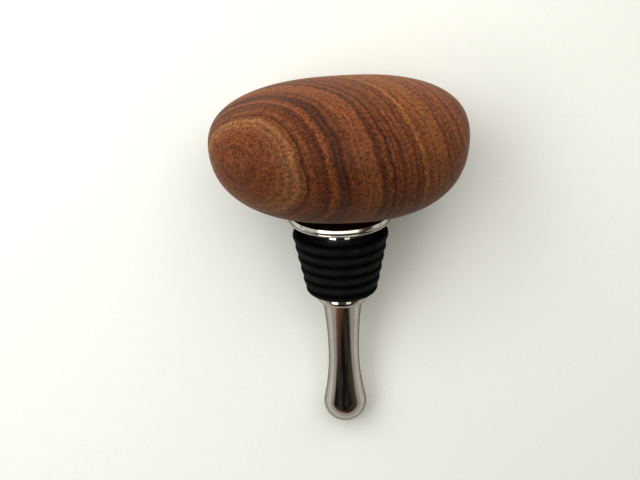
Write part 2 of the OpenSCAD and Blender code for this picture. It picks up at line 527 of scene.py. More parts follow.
class SharedEffects:
    """Node groups that more than one finish uses, each built once.

    Attributes:
        GRAIN_CLOUDS: Clouds over the grains, with their scale as a share of the grains' own.
        GRAIN_SHARE: Share of the speckle that differs from grain to grain.
        DOME_REACH: Distances from a grain's middle between which its dome falls off.
        DOME_SHARE: Share of the height that the domes have.
        SMEARS: Clouds that make the smears on metal.
        HAIRS: Clouds that make the hairlines on metal.
        HAIR_SQUEEZE: How the place is squeezed at which the hairlines are read.
    """

    GRAIN_CLOUDS = Clouds(0.6, 3.0, 0.6, (0.3, 0.7))
    GRAIN_SHARE = 0.45
    DOME_REACH: Span = (0.0, 0.8)
    DOME_SHARE = 0.4
    SMEARS = Clouds(0.22, 4.0, 0.62, (0.42, 0.72))
    HAIRS = Clouds(1.1, 2.0, 0.5, (0.63, 0.72))
    HAIR_SQUEEZE: Place = (3.0, 3.0, 0.35)

    def __init__(self) -> None:
        """Builds the groups."""
        self.grain = self._fine_grain()
        self.marks = self._handling_marks()

    @staticmethod
    def _new_group(name: str, inputs: dict[str, str], outputs: list[str]) -> bpy.types.NodeTree:
        """An empty group with its sockets.

        Args:
            name: Name of the group.
            inputs: Names of the inputs and Blender's names of their kinds.
            outputs: Names of the outputs, which are all numbers.

        Returns:
            The group.
        """
        tree = bpy.data.node_groups.new(name, "ShaderNodeTree")
        for label, kind in inputs.items():
            tree.interface.new_socket(label, in_out="INPUT", socket_type=kind)
        for label in outputs:
            tree.interface.new_socket(label, in_out="OUTPUT", socket_type="NodeSocketFloat")
        return tree

    def _fine_grain(self) -> bpy.types.NodeTree:
        """Grains packed side by side: a speckle that differs from grain to grain, and their height.

        Returns:
            The group.
        """
        inputs = {"Place": "NodeSocketVector", "Size": "NodeSocketFloat"}
        tree = self._new_group("fine_grain", inputs, ["Speckle", "Height"])
        bench = Bench(tree)
        given = bench.add("NodeGroupInput").outputs
        scale = bench.math("DIVIDE", 1.0, given["Size"])
        cells = bench.add("ShaderNodeTexVoronoi", feature="F1")
        bench.wire(cells, {"Vector": given["Place"], "Scale": scale})
        each = bench.add("ShaderNodeSeparateColor")
        bench.feed(each.inputs[0], cells.outputs["Color"])
        cloud_scale = bench.math("MULTIPLY", scale, self.GRAIN_CLOUDS.scale)
        cloud = bench.noise(given["Place"], self.GRAIN_CLOUDS, cloud_scale)
        spread = bench.span(cloud, self.GRAIN_CLOUDS.band)
        dome = bench.span(cells.outputs["Distance"], self.DOME_REACH, FALLING)
        bench.wire(bench.add("NodeGroupOutput"), {
            "Speckle": bench.weigh(each.outputs[0], spread, self.GRAIN_SHARE),
            "Height": bench.weigh(dome, spread, self.DOME_SHARE),
        })
        return tree

    def _handling_marks(self) -> bpy.types.NodeTree:
        """Faint smears and hairline scratches on metal, as one mask between 0 and 1.

        Returns:
            The group.
        """
        inputs = {"Place": "NodeSocketVector", "Smears": "NodeSocketFloat", "Scratches": "NodeSocketFloat"}
        tree = self._new_group("handling_marks", inputs, ["Mask"])
        bench = Bench(tree)
        given = bench.add("NodeGroupInput").outputs
        squeezed = bench.vector("MULTIPLY", given["Place"], self.HAIR_SQUEEZE).outputs[0]
        smear = bench.math("MULTIPLY", bench.cloud(given["Place"], self.SMEARS), given["Smears"])
        hair = bench.math("MULTIPLY", bench.cloud(squeezed, self.HAIRS), given["Scratches"])
        bench.wire(bench.add("NodeGroupOutput"), {"Mask": bench.math("MAXIMUM", smear, hair)})
        return tree


@dataclass(frozen=True)
class Finish:
    """What every finish has: a name, and the effects it shares with others."""

    name: str
    effects: SharedEffects

    def start(self) -> tuple[bpy.types.Material, Bench, bpy.types.Node]:
        """Makes the material and its one shader.

        Returns:
            The material, its bench and its Principled shader.
        """
        material = bpy.data.materials.new(self.name)
        material.use_nodes = True
        bench = Bench(material.node_tree)
        shader = bench.add("ShaderNodeBsdfPrincipled")
        bench.wire(bench.add("ShaderNodeOutputMaterial"), {"Surface": shader.outputs[0]})
        return material, bench, shader

    def material(self, rest: RestFrame) -> bpy.types.Material:
        """Builds the material for a stopper that lies in this frame."""
        raise NotImplementedError


@dataclass(frozen=True)
class StoneFinish(Finish):
    """Ringed sandstone, worn smooth: shells of colour about an eye near the stone's left front.

    A shell's radius is the length of the stretched offset from the eye plus its share along the
    drift, so that the shells crowd on one side. Slow and fine noise make their edges wander. The
    colour is darkened near the seat as painted shade and lightened towards the crown as painted
    light, with a little dust all over.

    Attributes:
        eye: Middle of the shells.
        stretch: How an offset from the eye is stretched.
        drift: Where the shells crowd.
        wander: Noise that moves the shells, each with its reach in millimetres.
        painted_shade: Brightness at the lower of the painted light's levels, painted shade near the seat.
        painted_crown_light: Brightness at the upper one, painted light towards the crown.
        painted_light_levels: Levels over which the painted shade near the seat turns to painted light towards
            the crown.
        dust: Weight of the dust's sheen.
        dust_colour: Its colour.
        dust_rough: Its roughness.
        gloss: Level of the mirrored light.
        chalk: Roughness of the scattered light.
        rough: Roughness between the grains and on top of them.
        lines: Fine lines along the shells.
        line_swing: How much they darken and lighten the stone.
        calm_radii: Radii between which the lines grow from the eye outwards.
        calm_share: Share of the lines at those radii.
        grain_size: Size of a grain, in millimetres.
        grain_bump: Relief of the grains.
        speckle_band: Speckle values that are spread over the gain.
        speckle_gain: Brightness of the darkest and the lightest grains.
        haze: Grey-brown clouds.
        haze_share: How much they cover.
        haze_colour: Their colour.
        wear: Slow unevenness of the skin.
        wear_bump: Its relief.
        last_radius: Radius at the end of the colours' run.
        rings: Radii and colours of the shells, in order.
    """

    eye: Place = (-24.9, -20.6, 21.7)
    stretch: Place = (1.0, 0.92, 1.16)
    drift: Place = (-0.155, 0.0, 0.17)
    wander: tuple[tuple[Clouds, float], ...] = (
        (Clouds(0.07, 1.0), 2.0),
        (Clouds(0.35, 1.0), 0.7),
        (Clouds(1.6, 1.0), 0.7),
    )
    painted_shade: float = 0.5
    painted_crown_light: float = 1.24
    painted_light_levels: Span = (2.0, 33.0)
    dust: float = 0.09
    dust_colour: Colour = (1.0, 0.72, 0.54)
    dust_rough: float = 0.4
    gloss: float = 0.07
    chalk: float = 1.0
    rough: Span = (0.72, 0.56)
    lines: Clouds = Clouds(1.15, 3.0, band=(0.32, 0.68))
    line_swing: Span = (-0.44, 0.34)
    calm_radii: Span = (8.0, 20.0)
    calm_share: Span = (0.35, 1.0)
    grain_size: float = 0.42
    grain_bump: Relief = Relief(0.5, 0.1)
    speckle_band: Span = (0.15, 0.85)
    speckle_gain: Span = (0.37, 1.39)
    haze: Clouds = Clouds(0.11, 2.0, band=(0.45, 0.75))
    haze_share: Span = (0.0, 0.35)
    haze_colour: Colour = (0.12, 0.045, 0.020)
    wear: Clouds = Clouds(0.5, 3.0, 0.55)
    wear_bump: Relief = Relief(0.25, 0.25)
    last_radius: float = 56.0
    rings: tuple[tuple[float, Tone], ...] = (
        (0.0, Tone.SIENNA),
        (4.9, Tone.RUSSET),
        (5.5, Tone.CHESTNUT),
        (6.2, Tone.RUSSET),
        (9.0, Tone.RUSSET),
        (12.8, Tone.TAN),
        (14.0, Tone.TAN),
        (14.9, Tone.RUSSET),
        (15.4, Tone.UMBER),
        (16.3, Tone.RUSSET),
        (17.6, Tone.CHESTNUT),
        (19.2, Tone.UMBER),
        (20.0, Tone.RUST),
        (20.7, Tone.RUST),
        (21.4, Tone.PLUM),
        (22.8, Tone.UMBER),
        (24.2, Tone.CHESTNUT),
        (26.2, Tone.RUSSET),
        (27.6, Tone.SIENNA),
        (28.8, Tone.RUSSET),
        (29.8, Tone.UMBER),
        (30.5, Tone.RUSSET),
        (31.1, Tone.UMBER),
        (32.0, Tone.RUSSET),
        (32.8, Tone.UMBER),
        (34.4, Tone.RUSSET),
        (36.0, Tone.CHESTNUT),
        (37.4, Tone.OCHRE),
        (38.6, Tone.RUSSET),
        (39.8, Tone.OCHRE),
        (42.4, Tone.RUSSET),
        (53.0, Tone.CHESTNUT),
    )

    def material(self, rest: RestFrame) -> bpy.types.Material:
        """Builds the ringed stone.

        Args:
            rest: Where the stopper lies.

        Returns:
            The material.
        """
        material, bench, shader = self.start()
        place = bench.upright(rest)
        radius = self._radius(bench, place)
        stops = [(at / self.last_radius, tone.value) for at, tone in self.rings]
        colour = bench.ramp(bench.math("DIVIDE", radius, self.last_radius), stops)
        swing = bench.streak(radius, self.lines, self.line_swing)
        calm = bench.span(radius, self.calm_radii, self.calm_share)
        lines = bench.math("MULTIPLY_ADD", swing, calm, 1.0)
        grain = bench.group(self.effects.grain, {"Place": place, "Size": self.grain_size}).outputs
        speckle = bench.span(grain["Speckle"], self.speckle_band, self.speckle_gain)
        level = bench.parts(place)[2]
        # Painted light by level: darker near the seat as painted shade, paler towards the crown as painted
        # light.
        painted_shade = bench.span(level, self.painted_light_levels, (self.painted_shade, self.painted_crown_light))
        shade = bench.math("MULTIPLY", bench.math("MULTIPLY", lines, speckle), painted_shade)
        shade_colour = bench.add("ShaderNodeCombineColor")
        for socket in shade_colour.inputs:
            bench.feed(socket, shade)
        lined = bench.mix(1.0, colour, shade_colour.outputs[0], "MULTIPLY")
        haze = bench.cloud(place, self.haze, self.haze_share)
        worn = bench.bump(bench.noise(place, self.wear), self.wear_bump)
        bench.wire(shader, {
            "Base Color": bench.mix(haze, lined, self.haze_colour),
            "Roughness": bench.span(grain["Height"], RISING, self.rough),
            "Normal": bench.bump(grain["Height"], self.grain_bump, worn),
            "Specular IOR Level": self.gloss,
            "Diffuse Roughness": self.chalk,
            "Sheen Weight": self.dust,
            "Sheen Roughness": self.dust_rough,
            "Sheen Tint": (*self.dust_colour, 1.0),
        })
        return material

    def _radius(self, bench: Bench, place: Socket) -> Socket:
        """Works out the wandering shell radius at a place.

        Args:
            bench: The material's bench.
            place: The upright place.

        Returns:
            The radius.
        """
        offset = bench.vector("SUBTRACT", place, self.eye).outputs[0]
        stretched = bench.vector("MULTIPLY", offset, self.stretch).outputs[0]
        length = bench.vector("LENGTH", stretched).outputs["Value"]
        along = bench.vector("DOT_PRODUCT", stretched, self.drift).outputs["Value"]
        radius = bench.math("ADD", length, along)
        for clouds, reach in self.wander:
            wander = bench.math("SUBTRACT", bench.noise(place, clouds), NOISE_MIDDLE)
            radius = bench.math("MULTIPLY_ADD", wander, reach, radius)
        return radius


@dataclass(frozen=True)
class MetalFinish(Finish):
    """Bright metal with smears and hairlines that dull it a little.

    Attributes:
        colour: Colour of the clean metal.
        dull_colour: Colour under the marks.
        edge_colour: Tint of the metal at a grazing look.
        smears: Strength of the smears.
        scratches: Strength of the hairlines.
        polished: Roughness of the clean metal.
        dulled: Roughness under the marks.
        ripples: Slow unevenness of the skin.
        ripple: Its relief.
    """

    colour: Colour = (0.8, 0.8, 0.8)
    dull_colour: Colour = (0.7, 0.7, 0.7)
    edge_colour: Colour = (1.0, 1.0, 1.0)
    smears: float = 0.5
    scratches: float = 0.5
    polished: float = 0.06
    dulled: float = 0.2
    ripples: Clouds = Clouds(0.3, 1.0)
    ripple: Relief = Relief(0.2, 0.02)

    def material(self, rest: RestFrame) -> bpy.types.Material:
        """Builds the metal.

        Args:
            rest: Where the stopper lies.

        Returns:
            The material.
        """
        material, bench, shader = self.start()
        place = bench.upright(rest)
        marks = {"Place": place, "Smears": self.smears, "Scratches": self.scratches}
        mask = bench.group(self.effects.marks, marks).outputs["Mask"]
        bench.wire(shader, {
            "Base Color": bench.mix(mask, self.colour, self.dull_colour),
            "Roughness": bench.span(mask, RISING, (self.polished, self.dulled)),
            "Normal": bench.bump(bench.noise(place, self.ripples), self.ripple),
            "Metallic": 1.0,
            "Specular Tint": (*self.edge_colour, 1.0),
        })
        return material


@dataclass(frozen=True)
class RubberFinish(Finish):
    """Black moulded rubber: a fine matt grain, paler on the rib lands as rubbing and painted light.

    The ribs repeat along the axis, so the share of rubbing and painted light follows the fraction of
    level over pitch, counted down from a groove; the near-black grooves carry painted shade.

    Attributes:
        groove_level: Level of the groove.
        pitch: Pitch of the ribs.
        colour: Colour of the clean rubber, so near black that it paints shade into the grooves.
        rubbed_and_lit: Colour where it is rubbed, paler on the lands as painted light.
        rubbed_and_lit_from: Shares of the pitch between which the rubbing and painted light begin.
        rubbed_and_lit_to: Shares of the pitch between which they end.
        patches: Clouds that make the rubbing uneven.
        patch_share: Share of the rubbing between the clouds and in them.
        spot_share: Share of the rubbing on the darkest and the lightest grains.
        rough: Roughness of clean and of rubbed rubber.
        grain_size: Size of a grain, in millimetres.
        grain_bump: Relief of the grains.
        gloss: Level of the mirrored light.
    """

    groove_level: float = 0.0
    pitch: float = 1.0
    colour: Colour = (0.0008, 0.0008, 0.0008)
    rubbed_and_lit: Colour = (0.0150, 0.0150, 0.0131)
    rubbed_and_lit_from: Span = (0.12, 0.32)
    rubbed_and_lit_to: Span = (0.55, 0.88)
    patches: Clouds = Clouds(0.35, 3.0, band=(0.3, 0.7))
    patch_share: Span = (0.35, 1.0)
    spot_share: Span = (0.6, 1.0)
    rough: Span = (0.7, 0.52)
    grain_size: float = 0.16
    grain_bump: Relief = Relief(0.35, 0.02)
    gloss: float = 0.02

    def material(self, rest: RestFrame) -> bpy.types.Material:
        """Builds the rubber.

        Args:
            rest: Where the stopper lies.

        Returns:
            The material.
        """
        material, bench, shader = self.start()
        place = bench.upright(rest)
        grain = bench.group(self.effects.grain, {"Place": place, "Size": self.grain_size}).outputs
        patches = bench.cloud(place, self.patches, self.patch_share)
        spots = bench.span(grain["Speckle"], RISING, self.spot_share)
        uneven = bench.math("MULTIPLY", patches, spots)
        # Rubbing and painted light make the rib lands paler; the near-black clean colour paints shade into
        # the grooves.
        share = bench.math("MULTIPLY", uneven, self._rubbed_and_lit_share(bench, place))
        bench.wire(shader, {
            "Base Color": bench.mix(share, self.colour, self.rubbed_and_lit),
            "Roughness": bench.span(share, RISING, self.rough),
            "Normal": bench.bump(grain["Height"], self.grain_bump),
            "Specular IOR Level": self.gloss,
        })
        return material

    def _rubbed_and_lit_share(self, bench: Bench, place: Socket) -> Socket:
        """How much the rib at a place is rubbed and lit: full on its land, none in its grooves, which keep
        their painted shade.

        Args:
            bench: The material's bench.
            place: The upright place.

        Returns:
            The share, between 0 and 1.
        """
        below = bench.math("SUBTRACT", self.groove_level, bench.parts(place)[2])
        phase = bench.math("FRACT", bench.math("DIVIDE", below, self.pitch))
        start = bench.span(phase, self.rubbed_and_lit_from)
        return bench.math("MULTIPLY", start, bench.span(phase, self.rubbed_and_lit_to, FALLING))


@dataclass(frozen=True)
class FloorFinish(Finish):
    """Plain pale paper with a faint tooth.

    Attributes:
        colour: Colour of the palest grains.
        shaded: Colour of the darkest grains.
        grain_size: Size of a grain, in millimetres.
        grain_bump: Relief of the grains.
        rough: Roughness of the paper.
    """

    colour: Colour = (0.825, 0.835, 0.795)
    shaded: Colour = (0.795, 0.805, 0.765)
    grain_size: float = 0.5
    grain_bump: Relief = Relief(0.15, 0.03)
    rough: float = 0.85

    def material(self, rest: RestFrame) -> bpy.types.Material:
        """Builds the paper.

        Args:
            rest: Where the stopper lies.

        Returns:
            The material.
        """
        material, bench, shader = self.start()
        place = bench.upright(rest)
        grain = bench.group(self.effects.grain, {"Place": place, "Size": self.grain_size}).outputs
        bench.wire(shader, {
            "Base Color": bench.mix(grain["Speckle"], self.colour, self.shaded),
            "Normal": bench.bump(grain["Height"], self.grain_bump),
            "Roughness": self.rough,
        })
        return material


def dress(piece: bpy.types.Object, node: str, material: bpy.types.Material) -> bpy.types.Object:
    """Gives a piece its material and ties it to the frame.

    Args:
        piece: The finished piece.
        node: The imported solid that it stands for.
        material: Its material.

    Returns:
        The piece.
    """
    piece.data.materials.append(material)
    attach(piece, BODY)
    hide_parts(node)
    return piece


@dataclass
class Piece:
    """What every piece of the stopper has.

    Attributes:
        name: Its name.
        node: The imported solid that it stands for.
        slot: The record's slot that its finish comes from.
        sharp: Edges that turn by more than this many degrees are shaded as corners.
    """

    name: ClassVar[str]
    node: ClassVar[str]
    slot: ClassVar[Slot]
    sharp: ClassVar[float]

    def skin(self) -> Skin:
        """The closed surface, in the upright frame."""
        raise NotImplementedError

    def build(self, rest: RestFrame, finish: Finish) -> bpy.types.Object:
        """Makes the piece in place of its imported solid, and dresses it.

        Args:
            rest: Where the stopper lies.
            finish: What the piece is made of.

        Returns:
            The piece.
        """
        piece = self.skin().to_object(self.name, rest, self.sharp)
        return dress(piece, self.node, finish.material(rest))


@dataclass
class StopperBody(Piece):
    """The turned and chromed body: flange, neck, core, shoulder, waisted shank and bulb."""

    name: ClassVar[str] = "chromed_body"
    node: ClassVar[str] = "stopper_body"
    slot: ClassVar[Slot] = Slot.CHROME
    sharp: ClassVar[float] = 20.0

    sleeve_low: float
    flange_d: float = 25.0
    flange_t: float = 1.8
    neck_d: float = 12.2
    neck_len: float = 4.0
    neck_fillet: float = 1.2
    collar_d: float = 13.8
    collar_h: float = 0.6
    core_d: float = 10.5
    shoulder_d: float = 12.3
    shoulder_h: float = 2.9
    shoulder_gain: float = 0.55
    shoulder_slope: float = 1.4
    shoulder_low_round: float = 1.2
    shank_top_d: float = 9.8
    waist_d: float = 7.7
    bulb_d: float = 10.8
    bulb_gap_angle: float = 3.0
    flare_r: float = 60.0
    body_len: float = 56.0
    hole_d: float = 6.1
    hole_depth: float = 10.0
    bevel_angle: float = 26.0
    bevel_len: float = 0.62
    bevel_inset: float = 0.03
    rim_corner: float = 0.3
    rim_groove: float = 0.2
    rim_foot: float = 0.3
    rim_foot_angle: float = 60.0
    corner_steps: int = 8
    foot_steps: int = 16
    fillet_steps: int = 12
    shoulder_steps: int = 14
    shank_steps: int = 30
    bulb_steps: int = 40
    columns: int = 160

    def rim(self) -> np.ndarray:
        """Section of the flange's edge: a rounded corner, a steep bevel, a fine groove and a round foot.

        Returns:
            Rows of distance from the axis and level, from the top face to the underside.
        """
        outer, facing = self.flange_d / 2, math.radians(self.bevel_angle)
        run = self.bevel_len * math.sin(facing)
        corner_r, foot_r = self.rim_corner, self.rim_foot
        corner_at = outer - self.bevel_inset - run - corner_r * math.cos(facing)
        corner_level = self.flange_t - corner_r
        corner = arc(corner_at, corner_level, corner_r, UPWARDS, self.bevel_angle, self.corner_steps)
        low = corner[-1] + (run, -self.bevel_len * math.cos(facing))
        foot = arc(outer - foot_r, foot_r, foot_r, self.rim_foot_angle, DOWNWARDS, self.foot_steps)
        groove = [(outer - self.rim_groove, low[1]), (outer - self.rim_groove, foot[0, 1])]
        return np.vstack((corner, [low], groove, foot))

    def section(self) -> np.ndarray:
        """Half section from the bottom of the stud's hole, over the flange and down to the bulb.

        The neck is a cone that widens to the collar, and the shoulder has a steep cone for its top.
        The shank is a hollow arc from the shoulder to the waist, and from there a flare arc that
        runs into the bulb's circle.

        Returns:
            Rows of distance from the axis and level, without the poles.
        """
        neck, core, shoulder = self.neck_d / 2, self.core_d / 2, self.shoulder_d / 2
        collar, seat = self.collar_d / 2, -self.neck_len
        sleeve_low = self.sleeve_low
        shank_top = sleeve_low - self.shoulder_h
        shank, waist, bulb = self.shank_top_d / 2, self.waist_d / 2, self.bulb_d / 2
        flare_r, steps = self.flare_r, self.shank_steps
        bulb_level = bulb - self.body_len
        waist_level = bulb_level + math.sqrt((flare_r + bulb) ** 2 - (flare_r + waist) ** 2)
        rise, gain = shank_top - waist_level, shank - waist
        hollow_r = (rise**2 + gain**2) / (2 * gain)
        hollow = math.degrees(math.asin(rise / hollow_r))
        flare = math.degrees(math.asin((waist_level - bulb_level) / (flare_r + bulb)))
        hole, low, fillet = self.hole_d / 2, self.shoulder_low_round, self.neck_fillet
        gap = self.bulb_gap_angle
        return np.vstack((
            [(hole, self.flange_t - self.hole_depth), (hole, self.flange_t)],
            self.rim(),
            arc(neck + fillet, -fillet, fillet, UPWARDS, INWARDS, self.fillet_steps),
            [(collar, seat + self.collar_h), (collar, seat), (core, seat), (core, sleeve_low)],
            [(shoulder - self.shoulder_gain, sleeve_low), (shoulder, sleeve_low - self.shoulder_slope)],
            arc(shoulder - low, shank_top + low, low, OUTWARDS, DOWNWARDS, self.shoulder_steps),
            arc(waist + hollow_r, waist_level, hollow_r, INWARDS - hollow, INWARDS, steps),
            arc(waist + flare_r, waist_level, flare_r, INWARDS + flare / steps, INWARDS + flare, steps - 1),
            arc(0.0, bulb_level, bulb, flare - gap, DOWNWARDS + gap, self.bulb_steps),
        ))

    def skin(self) -> Skin:
        """The section turned about the axis, closed in the stud's hole and at the tip."""
        rings = revolve(self.section(), self.columns)
        return Skin(rings, on_axis(self.flange_t - self.hole_depth), on_axis(-self.body_len))


@dataclass
class RubberSleeve(Piece):
    """The ribbed sleeve: a dished top, and six ribs like stacked cones that step in towards the tip."""

    name: ClassVar[str] = "ribbed_sleeve"
    node: ClassVar[str] = "rubber_sleeve"
    slot: ClassVar[Slot] = Slot.RUBBER
    sharp: ClassVar[float] = 50.0

    rim_top: float = -2.9
    dish_rise: float = 1.1
    dish_foot_r: float = 7.2
    bore_r: float = 5.3
    seal_d: float = 18.8
    seal_rib: int = 4
    rib_count: int = 6
    rib_step: float = 0.56
    rib_pitch: float = 2.85
    rib_land: float = 0.6
    rib_shoulder: float = 0.7
    rib_taper: float = 0.5
    rib_under: float = 0.3
    groove_depth: float = 0.45
    top_rib_h: float = 2.9
    lip_round: float = 0.8
    tail_h: float = 1.75
    tail_low_r: float = 7.3
    flash_at: tuple[float, ...] = (-44.0, 136.0)
    flash_h: float = 0.12
    flash_half: float = 1.2
    columns: int = 320
    flank_steps: int = 8

    @property
    def low(self) -> float:
        """Level of the bottom face."""
        return self.groove_level(self.rib_count - 2) - self.tail_h

    @property
    def seal_level(self) -> float:
        """Level of the middle of the sealing rib's land."""
        return self.groove_level(self.seal_rib - 1) - self.rib_shoulder - self.rib_land / 2

    def crest(self, rib: int) -> float:
        """Radius of a rib's crest, counted from the top."""
        return self.seal_d / 2 + (self.seal_rib - rib) * self.rib_step

    def groove_level(self, rib: int) -> float:
        """Level of the groove below a rib."""
        return self.rim_top - self.top_rib_h - rib * self.rib_pitch

    def groove_r(self, rib: int) -> float:
        """Radius at the bottom of the groove below a rib."""
        return self.crest(rib + 1) - self.groove_depth

    def flank(self, edge_r: float, edge: float, foot_r: float, foot: float) -> np.ndarray:
        """A quarter of an ellipse from an edge of a rib to the foot of its groove.

        Args:
            edge_r: Radius of the edge.
            edge: Level of the edge.
            foot_r: Radius of the foot.
            foot: Level of the foot.

        Returns:
            Rows of distance from the axis and level.
        """
        angles = np.linspace(0.0, np.pi / 2, self.flank_steps + 1)
        return np.column_stack((
            foot_r + (edge_r - foot_r) * np.cos(angles),
            edge + (foot - edge) * np.sin(angles),
        ))

    def section(self) -> np.ndarray:
        """Closed half section: from the dish, down the ribbed outside and back up the bore.

        Each rib is a rounded shoulder, a straight land and a taper with a rounded edge under it.

        Returns:
            Rows of distance from the axis and level.
        """
        dish = self.rim_top - self.dish_rise
        last = self.rib_count - 1
        below_land = self.rib_pitch - self.rib_shoulder - self.rib_land
        lip_r, lip_level = self.crest(0) - self.lip_round, self.rim_top - self.lip_round
        lip = arc(lip_r, lip_level, self.lip_round, UPWARDS, OUTWARDS, self.flank_steps)
        outside = [[(self.dish_foot_r, dish)], lip]
        for rib in range(last):
            foot, foot_r = self.groove_level(rib), self.groove_r(rib)
            tapered = self.crest(rib) - self.rib_taper
            outside.append([(self.crest(rib), foot + below_land)])
            outside.append(self.flank(tapered, foot + self.rib_under, foot_r, foot))
            outside.append(self.flank(self.crest(rib + 1), foot - self.rib_shoulder, foot_r, foot)[-2::-1])
        tail_level = self.groove_level(last - 1) - self.rib_shoulder
        outside.append(self.flank(self.crest(last), tail_level, self.tail_low_r, self.low)[1:])
        return np.vstack((*outside, [(self.bore_r, self.low), (self.bore_r, dish)]))

    def flashed(self, rings: np.ndarray) -> np.ndarray:
        """Raises the mould's parting lines: a bell of turn about each line moves the outside outwards.

        Args:
            rings: The sleeve's rings.

        Returns:
            The rings with the lines.
        """
        turn = np.degrees(np.arctan2(rings[..., 1], rings[..., 0]))
        apart = np.min([np.abs((turn - at + 180.0) % 360.0 - 180.0) for at in self.flash_at], axis=0)
        reach = np.hypot(rings[..., 0], rings[..., 1])
        outside = reach > self.tail_low_r + self.flash_h
        gain = np.where(outside, self.flash_h * np.exp(-((apart / self.flash_half) ** 2)), 0.0)
        raised = rings.copy()
        raised[..., :2] *= (1.0 + gain / reach)[..., None]
        return raised

    def skin(self) -> Skin:
        """The section turned about the axis, with the parting lines, as a tube bent into a ring."""
        return Skin(self.flashed(revolve(self.section(), self.columns)), joins=True)


@dataclass
class ThreadedStud(Piece):
    """The stud that holds the stone on the body, with a fine thread between two chamfered ends."""

    name: ClassVar[str] = "threaded_rod"
    node: ClassVar[str] = "threaded_stud"
    slot: ClassVar[Slot] = Slot.STUD
    sharp: ClassVar[float] = 40.0

    stud_d: float = 6.0
    low: float = -8.2
    high: float = 13.8
    chamfer: float = 0.6
    pitch: float = 1.0
    thread_depth: float = 0.55
    thread_gain: float = 1.25
    steps_per_pitch: int = 12
    columns: int = 48

    def skin(self) -> Skin:
        """Rings up the thread, from end to end.

        The radius is the thread's outside less its depth times a triangle wave of level over pitch
        less the turn, and no more than the cone of the chamfer at either end. The wave is a little
        too high for its span, by the gain, and is cut off flat at its crests and valleys.

        Returns:
            The closed surface.
        """
        rows = int(round((self.high - self.low) / self.pitch * self.steps_per_pitch)) + 1
        level = np.linspace(self.low, self.high, rows)[:, None]
        angle = np.linspace(0.0, 2.0 * np.pi, self.columns, endpoint=False)[None]
        phase = (level / self.pitch - angle / (2.0 * np.pi)) % 1.0
        cut = (self.thread_gain - 1.0) / 2
        valley = np.clip(self.thread_gain * np.abs(2.0 * phase - 1.0) - cut, 0.0, 1.0)
        radius = self.stud_d / 2 - self.thread_depth * valley
        to_end = np.minimum(level - self.low, self.high - level)
        radius = np.minimum(radius, self.stud_d / 2 - self.chamfer + to_end)
        x, y = radius * np.cos(angle), radius * np.sin(angle)
        rings = np.stack((x, y, np.broadcast_to(level, x.shape)), axis=-1)
        return Skin(rings, on_axis(self.low), on_axis(self.high))


@dataclass(frozen=True)
class Lobe:
    """A gentle swelling or hollow of the stone: where it faces, its height and how wide it is."""

    facing: Place
    height: float
    spread: float


